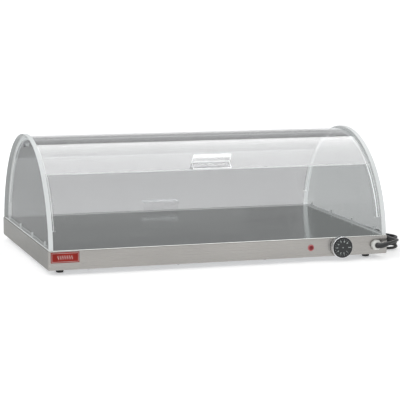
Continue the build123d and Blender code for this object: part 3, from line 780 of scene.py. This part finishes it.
def make_world():
    """A plain studio, a little brighter half way up. Seen directly, past the floor's far end,
    it is as white as the floor."""
    world = bpy.data.worlds.new("studio")
    world.use_nodes = True
    tree = world.node_tree

    def node(kind):
        return tree.nodes.new("ShaderNode" + kind)

    plain = tree.nodes["Background"]
    split = node("SeparateXYZ")
    ramp = node("ValToRGB")
    stops = ((0.0, 0.70), (0.22, 0.70), (0.38, 0.84), (0.66, 0.84), (1.0, 0.70))
    while len(ramp.color_ramp.elements) < len(stops):
        ramp.color_ramp.elements.new(1.0)
    for element, (place, grey) in zip(ramp.color_ramp.elements, stops):
        element.position = place
        element.color = (grey * 0.99, grey * 0.995, grey, 1.0)
    white = node("Background")
    white.inputs["Color"].default_value = (1.0, 1.0, 1.0, 1.0)
    seen = node("MixShader")
    for source, target in (
            (node("TexCoord").outputs["Generated"], split.inputs[0]),
            (split.outputs["Z"], ramp.inputs["Fac"]),
            (ramp.outputs["Color"], plain.inputs["Color"]),
            (node("LightPath").outputs["Is Camera Ray"], seen.inputs[0]),
            (plain.outputs[0], seen.inputs[1]),
            (white.outputs[0], seen.inputs[2]),
            (seen.outputs[0], tree.nodes["World Output"].inputs["Surface"])):
        tree.links.new(source, target)
    bpy.context.scene.world = world


def make_light():
    softbox("key", (-2.6, -2.4, 2.6), (0.0, 0.0, 0.1), (1.8, 1.8), 3.0)
    softbox("overhead_card", (0.0, 0.84, 2.3), (0.0, 0.84, 0.0), (3.5, 2.72), 3.3, True)
    bpy.context.scene.view_settings.view_transform = "Standard"


make_camera()
make_floor()
make_world()
make_light()


# -------- knob, lamp and badge
knob_middle = middle("dial_disc")
knob_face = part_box("dial_disc")[0].y
knob_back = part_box("knob")[1].y
dial_radius = half_width("dial_disc")


def make_knob():
    """A black drum with a dished face, and a finely fluted chrome ring round it."""
    place = facing_front(Vector((knob_middle.x, knob_back, knob_middle.z)))
    low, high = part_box("knob")
    radius = half_width("knob")
    depth = high.y - low.y
    outer = half_width("knob_trim")
    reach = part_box("knob_trim")[1].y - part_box("knob_trim")[0].y
    rim = outer - 0.0009
    profile = [(0.0, depth - 0.0004), (dial_radius + 0.0002, depth - 0.0004),
               (dial_radius + 0.0006, depth), (rim - 0.0008, depth), (rim - 0.0003, depth - 0.0001),
               (rim, depth - 0.0004), (rim, reach + 0.0001), (radius, reach), (radius, 0.0),
               (radius - 0.002, 0.0), (radius - 0.002, depth - 0.003), (0.006, depth - 0.003),
               (0.006, 0.0), (0.0031, 0.0), (0.0031, depth - 0.006), (0.0, depth - 0.006)]
    drum = turned("knob_drum", profile, place, looks["knob"], 96)
    stands_for(drum, "knob", "knob")
    flutes = 60

    def fluted(angle, r, height):
        cut = 0.00035 * (0.5 + 0.5 * cos(angle * flutes)) ** 2
        inside = 0.001 < height < reach - 0.0022
        return r - cut if r > outer - 0.0002 and inside else r

    ring = [(radius, 0.0), (outer - 0.0004, 0.0), (outer, 0.0004), (outer, 0.0011),
            (outer, 0.0040), (outer, reach - 0.0045), (outer, reach - 0.0023),
            (outer, reach - 0.0010), (outer - 0.0001, reach - 0.0005),
            (outer - 0.0004, reach - 0.0001), (outer - 0.0008, reach), (radius, reach)]
    band = ring_turned("knob_ring", ring, place, looks["chrome"], flutes * 6, fluted, 50.0)
    stands_for(band, "knob_trim", "knob")


def dial_place(angle, radius, lift=0.0):
    """On the dial face: angle clockwise from the top, seen from the front."""
    a = radians(angle)
    return Vector((knob_middle.x + radius * sin(a), knob_face - lift,
                   knob_middle.z + radius * cos(a)))


def flat_strip(work, angle, inner, outer, width, lift=0.00006):
    """A thin raised mark on the dial, along a radius."""
    a = radians(angle)
    turn = Matrix.Translation(Vector((knob_middle.x, knob_face, knob_middle.z))) \
        @ Matrix.Rotation(a, 4, "Y")
    block(work, (-width / 2, -lift, inner), (width / 2, 0.00002, outer), turn)


def make_dial_marks():
    """Figures 1 to 9 round the dial, ticks at its rim, the index and a small cross."""
    work = bmesh.new()
    figures = 9
    index_angle = 90.0
    first = index_angle + 45.0
    sweep = 270.0
    for tick in range(figures * 2 - 1):
        angle = first + sweep * tick / (figures * 2 - 2)
        long = tick % 2 == 0
        flat_strip(work, angle, dial_radius * (0.86 if long else 0.91), dial_radius * 0.97, 0.0005)
    flat_strip(work, index_angle, dial_radius * 0.62, dial_radius * 0.97, 0.0013)
    for angle in (0.0, 90.0):
        flat_strip(work, angle, -0.0016, 0.0016, 0.0009)
    marks = bevelled("dial_marks", work, looks["ink"], 0.00002, 1)
    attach(marks, "knob")
    for figure in range(figures):
        angle = first + sweep * figure / (figures - 1)
        text = bpy.data.curves.new(f"dial_figure_{figure + 1}", "FONT")
        text.body = str(figure + 1)
        text.size = 0.0056
        text.align_x = "CENTER"
        text.align_y = "CENTER"
        text.extrude = 0.00004
        text.offset = 0.00012
        text.materials.append(looks["ink"])
        label = added(f"dial_figure_{figure + 1}", text)
        label.matrix_world = (Matrix.Translation(dial_place(angle, dial_radius * 0.68, 0.00003))
                              @ Matrix.Rotation(radians(angle), 4, "Y")
                              @ Matrix.Rotation(pi / 2, 4, "X"))
        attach(label, "knob")


def make_lens():
    """The lamp lens: a flange, and a low dome cut with rings and facets."""
    centre = middle("pilot_lens")
    housing_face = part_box("housing")[0].y
    place = facing_front(Vector((centre.x, housing_face, centre.z)))
    reach = housing_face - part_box("pilot_lens")[0].y
    flange = half_width("pilot_lens")
    core = 0.0055
    profile = [(0.0, reach)]
    rings = 5
    for ring in range(1, rings + 1):
        r = core * 0.88 * ring / rings
        h = reach - 0.0011 * (ring / rings) ** 2
        profile += [(r - 0.00018, h), (r, h - 0.00012), (r + 0.00012, h)]
    profile += [(core, 0.0014), (core + 0.0003, 0.0010), (flange - 0.0005, 0.00085),
                (flange, 0.0005), (flange, 0.0), (core, 0.0), (core, -0.0034), (0.0, -0.0034)]

    def facets(angle, r, height):
        step = 2 * pi / 12
        inside = abs((angle % step) - step / 2)
        flat = cos(step / 2) / cos(step / 2 - inside) if 0.0014 < height else 1.0
        return r * (0.5 + 0.5 * flat)

    lens = turned("lamp_lens", profile, place, looks["lens"], 96, facets, 30.0)
    stands_for(lens, "pilot_lens")


def wavy_line(work, centre, face, height, lift):
    """Adds an upright wavy line to a bmesh, thick in its middle and thin at its ends."""
    steps = 20
    rows = []
    for step in range(steps + 1):
        t = step / steps
        x = centre.x + 0.0009 * sin(2 * pi * t)
        z = centre.z + (t - 0.5) * height
        half = 0.0005 * (1 - 0.5 * abs(2 * t - 1))
        corners = ((x - half, -lift), (x + half, -lift), (x + half, 0.0001), (x - half, 0.0001))
        rows.append([work.verts.new((corner_x, face + depth, z)) for corner_x, depth in corners])
    for lower, upper in zip(rows, rows[1:]):
        for side in range(4):
            after = (side + 1) % 4
            work.faces.new((lower[side], lower[after], upper[after], upper[side]))
    work.faces.new(rows[0])
    work.faces.new(rows[-1])


def make_badge_mark():
    """A plain pale frame with seven rising wavy lines: warmth, and nobody's mark."""
    low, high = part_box("badge")
    face = low.y
    inset = 0.0022
    line = 0.0004
    lift = 0.00008
    back = face + 0.0001
    x0, x1 = low.x + inset, high.x - inset
    z0, z1 = low.z + inset, high.z - inset
    work = bmesh.new()
    block(work, (x0, face - lift, z0), (x1, back, z0 + line))
    block(work, (x0, face - lift, z1 - line), (x1, back, z1))
    block(work, (x0, face - lift, z0 + line), (x0 + line, back, z1 - line))
    block(work, (x1 - line, face - lift, z0 + line), (x1, back, z1 - line))
    pitch = 0.0050
    for wave in range(-3, 4):
        centre = (low + high) / 2 + Vector((wave * pitch, 0.0, 0.0))
        wavy_line(work, centre, face, (z1 - z0) * 0.46, lift)
    bmesh.ops.remove_doubles(work, verts=work.verts, dist=1e-7)
    bmesh.ops.recalc_face_normals(work, faces=work.faces)
    mark = shown("badge_mark", mesh_from(work, "badge_mark"), looks["badge_ink"])
    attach(mark, "base")


make_knob()
make_dial_marks()
make_lens()
make_badge_mark()
soften("badge", 0.0002, 1)


# -------- gland, guard, tie and plug
def make_gland_nut():
    """The gland's dome nut: a hexagon with round corners that runs into a smooth dome."""
    low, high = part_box("gland_nut")
    centre = middle("gland_nut")
    place = facing_front(Vector((centre.x, high.y, centre.z)))
    reach = high.y - low.y
    radius = half_width("gland_nut")
    bore = 0.0061
    hexagon_top = reach * 0.55

    def hexagon(angle, r, height):
        if r < radius * 0.8 or height > hexagon_top + 0.0002:
            return r
        step = pi / 3
        off = (angle % step) - step / 2
        return min(r, radius * 0.905 / cos(off))

    profile = [(bore + 0.0015, 0.0), (radius - 0.0004, 0.0), (radius, 0.0004),
               (radius, hexagon_top - 0.0004), (radius, hexagon_top),
               (radius * 0.90, hexagon_top + 0.0003), (radius * 0.885, reach * 0.70),
               (radius * 0.84, reach * 0.84), (radius * 0.76, reach * 0.95),
               (radius * 0.66, reach), (bore + 0.0002, reach), (bore, reach - 0.0003),
               (bore, 0.0021), (bore + 0.0015, 0.0020)]
    nut = ring_turned("gland_dome_nut", profile, place, looks["gland"], 96, hexagon, 32.0)
    stands_for(nut, "gland_nut")


def make_guard():
    """The ribbed rubber guard that turns the lead out of the gland."""
    low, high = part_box("gland_nut")
    centre = middle("gland_nut")
    bend_radius = 0.010
    start = Vector((centre.x, high.y - 0.0020, centre.z))
    bend_start = Vector((centre.x, low.y - 0.0015, centre.z))
    inward = Vector((0.0, -1.0, 0.0))
    turn_angle = inward.angle(guard_way)
    corner = bend_start + inward * (bend_radius * tan(turn_angle / 2))
    axis = inward.cross(guard_way).normalized()
    pivot = bend_start + axis.cross(inward) * bend_radius
    straight_steps = 14
    bend_steps = 44
    tip_steps = 40
    line = [start.lerp(bend_start, step / straight_steps) for step in range(straight_steps)]
    for step in range(bend_steps):
        turn = Matrix.Rotation(turn_angle * step / bend_steps, 3, axis)
        line.append(pivot + turn @ (bend_start - pivot))
    bend_end = corner + guard_way * (corner - bend_start).length
    line += [bend_end.lerp(guard_end, step / tip_steps) for step in range(tip_steps + 1)]
    along = 0.0
    total = sum((b - a).length for a, b in zip(line, line[1:]))
    rib_from = (bend_start - start).length
    rib_pitch = 0.0028
    radii = []
    for index, place in enumerate(line):
        if index:
            along += (place - line[index - 1]).length
        share = along / total
        plain = 0.00595 - 0.0011 * max(0.0, (share - 0.55) / 0.45)
        ribs = 0.0
        if along > rib_from and share < 0.93:
            ribs = 0.00045 * (0.5 - 0.5 * cos(2 * pi * (along - rib_from) / rib_pitch)) ** 2
        radii.append(plain - ribs)
    radii[-1] -= 0.0004
    guard = swept("ribbed_guard", line, radii, looks["rubber"], 40, 60.0)
    stands_for(guard, "cord_guard")
    return guard


def rounded_ring(half_width, half_height, corner, steps=6):
    """Points of a rectangle with round corners, about the origin, anticlockwise."""
    points = []
    for quarter, (sx, sz) in enumerate(((1, 1), (-1, 1), (-1, -1), (1, -1))):
        centre = (sx * (half_width - corner), sz * (half_height - corner))
        for step in range(steps + 1):
            a = pi / 2 * (quarter + step / steps)
            points.append((centre[0] + corner * cos(a), centre[1] + corner * sin(a)))
    return points


def make_tie():
    """The rubber strap round the hank's waist."""
    half_band = 0.004
    thick = 0.0012
    top = level(0.0) + cord_diameter / 2 + thick
    bottom = 0.0001
    inner_w = waist + cord_diameter / 2 + 0.0012
    centre_z = (top + bottom) / 2
    half_h = (top - bottom) / 2
    outer = rounded_ring(inner_w + thick, half_h, 0.0036)
    inner = rounded_ring(inner_w, half_h - thick, 0.0024)
    count = len(outer)
    points = []
    round_off = 0.0004
    sections = ((-half_band, round_off), (-half_band + round_off, 0.0),
                (half_band - round_off, 0.0), (half_band, round_off))
    for along, shrink in sections:
        for x, z in outer:
            scale_x = (abs(x) - shrink) / abs(x) if abs(x) > shrink else 1.0
            scale_z = (abs(z) - shrink) / abs(z) if abs(z) > shrink else 1.0
            points.append(at_hank(along, x * scale_x, centre_z + z * scale_z))
    for along in (half_band, -half_band):
        points += [at_hank(along, x, centre_z + z) for x, z in inner]
    points += points[:count]
    mesh = mesh_of("hank_strap", points, ring_faces(len(sections) + 3, count))
    tidy_mesh(mesh)
    strap = shown("hank_strap", mesh, looks["rubber"])
    stands_for(strap, "cord_tie")
    return strap


def make_plug():
    """A round moulded plug: a ribbed neck, a gripping shell and a recessed pin face."""
    low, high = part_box("plug_body")
    place = Matrix.Translation(plug_place) @ Matrix.Rotation(-pi / 2, 4, "X")
    radius = half_width("plug_body")
    length = high.y - low.y
    neck = 0.024
    profile = [(0.0, 0.0), (0.0046, 0.0)]
    rib_count = 6
    for rib in range(rib_count):
        h = 0.002 + rib * 0.0031
        r = 0.0050 + 0.0022 * rib / rib_count
        profile += [(r, h), (r + 0.0008, h + 0.0004), (r + 0.0008, h + 0.0014), (r, h + 0.0018)]
    profile += [(0.0082, neck - 0.003), (0.0098, neck), (0.0125, neck + 0.0025),
                (0.0148, neck + 0.0055), (0.0164, neck + 0.0085), (radius, neck + 0.012),
                (radius, length - 0.0012), (radius - 0.0004, length - 0.0004),
                (radius - 0.0012, length), (0.0156, length), (0.0154, length - 0.0003),
                (0.0154, length - 0.0015), (0.0, length - 0.0015)]

    def grips(angle, r, height):
        if r < 0.0160 or not neck + 0.010 < height < length - 0.001:
            return r
        side = abs(cos(angle))
        groove = 0.0011 * max(0.0, 1 - abs(abs(sin(angle)) - 1.0) / 0.035)
        ridge = 0.0003 * (0.5 + 0.5 * cos(angle * 40)) if side > 0.6 else 0.0
        return r - groove - ridge

    plug = turned("plug_shell", profile, place, looks["plug"], 160, grips, 38.0)
    stands_for(plug, "plug_body")
    return plug


make_gland_nut()
guard_piece = make_guard()
strap_piece = make_tie()
plug_piece = make_plug()


# -------- screws that show
def solids_of(node):
    """The boxes of a CAD node's separate solids, in the order of its mesh."""
    mesh = nodes[node].data
    owner = list(range(len(mesh.vertices)))

    def first(index):
        while owner[index] != index:
            owner[index] = owner[owner[index]]
            index = owner[index]
        return index

    same_place = {}
    for vertex in mesh.vertices:
        key = tuple(round(c * 1e6) for c in vertex.co)
        owner[first(vertex.index)] = first(same_place.setdefault(key, vertex.index))
    for edge in mesh.edges:
        owner[first(edge.vertices[0])] = first(edge.vertices[1])
    boxes = {}
    for vertex in mesh.vertices:
        low, high = boxes.setdefault(first(vertex.index), (vertex.co.copy(), vertex.co.copy()))
        for axis in range(3):
            low[axis] = min(low[axis], vertex.co[axis])
            high[axis] = max(high[axis], vertex.co[axis])
    return list(boxes.values())


def threaded(name, node, place_of, shank, length, head=None, material="zinc"):
    """Screws or studs with a real thread, in place of a CAD node's plain ones. place_of turns
    a solid's box into the screw's place, with the thread along local +Z. head is its radius
    and height; it has a cross recess."""
    pitch = shank * 0.35
    rings = int(length / pitch * 4)
    profile = [(0.0, length), (shank * 0.75, length)]
    profile += [(shank, length - 0.0003 - (length - 0.0004) * k / rings) for k in range(rings + 1)]
    if head:
        radius, height = head
        dome = height * 0.45
        for k in range(5):
            a = pi / 2 * k / 4
            profile.append((radius - dome + dome * cos(a), -height + dome - dome * sin(a)))
        profile.insert(-5, (radius, 0.0))
        socket = radius * 0.55
        profile += [(socket, -height), (socket * 0.92, -height * 0.45), (0.0, -height * 0.40)]
    else:
        socket = -1.0
        profile.append((0.0, 0.0001))

    def shape(angle, r, z):
        if head and z < -head[1] * 0.4 and r <= socket:
            return r * (0.36 + 0.64 * abs(cos(2 * angle)) ** 7)
        if r != shank:
            return r
        phase = (z / pitch + angle / (2 * pi)) % 1.0
        return shank - pitch * 0.55 * (1 - abs(2 * phase - 1))

    joined = bmesh.new()
    for low, high in solids_of(node):
        part = turned_mesh("one_screw", profile, place_of(low, high), 32, shape)
        joined.from_mesh(part)
        bpy.data.meshes.remove(part)
    screws = shown(name, mesh_from(joined, name), looks[material], 32.0)
    stands_for(screws, node)


def upward(head_height):
    """Screws put in from below: the thread starts above the head."""
    def place(low, high):
        centre = (low + high) / 2
        return Matrix.Translation((centre.x, centre.y, low.z + head_height))
    return place


def tie_screw_place(low, high):
    """The tie rod's screws go in from the two ends, each with its head outside."""
    centre = (low + high) / 2
    left = centre.x < 0
    outside = low.x + tie_head_height if left else high.x - tie_head_height
    return Matrix.Translation((outside, centre.y, centre.z)) \
        @ Matrix.Rotation(pi / 2 if left else -pi / 2, 4, "Y")


tie_head_height = 0.0028
# the stand screws take the whitened zinc, a painted highlight
threaded("dome_stand_screws", "end_panel_screws", upward(0.0024), 0.002, 0.0115, (0.0036, 0.0024),
         "zinc_painted_highlight")
threaded("base_cover_screws", "cover_screws", upward(0.002), 0.0015, 0.009, (0.003, 0.002))
threaded("foot_machine_screws", "foot_screws", upward(0.0026), 0.002, 0.010, (0.0038, 0.0026))
threaded("dome_tie_screws", "tie_rod_screws", tie_screw_place, 0.0025, 0.026,
         (0.0048, tie_head_height), "darker_zinc")
threaded("mat_studs", "heater_studs", upward(0.0), 0.002, 0.0214)
for node in ("foot_nuts", "heater_nuts", "earth_nut", "gland_locknut"):
    soften(node, 0.0003)
for node in ("thermostat", "terminal_block", "pilot_lamp_body", "terminal_bracket",
             "front_handle", "rear_handle"):
    soften(node, 0.0004)
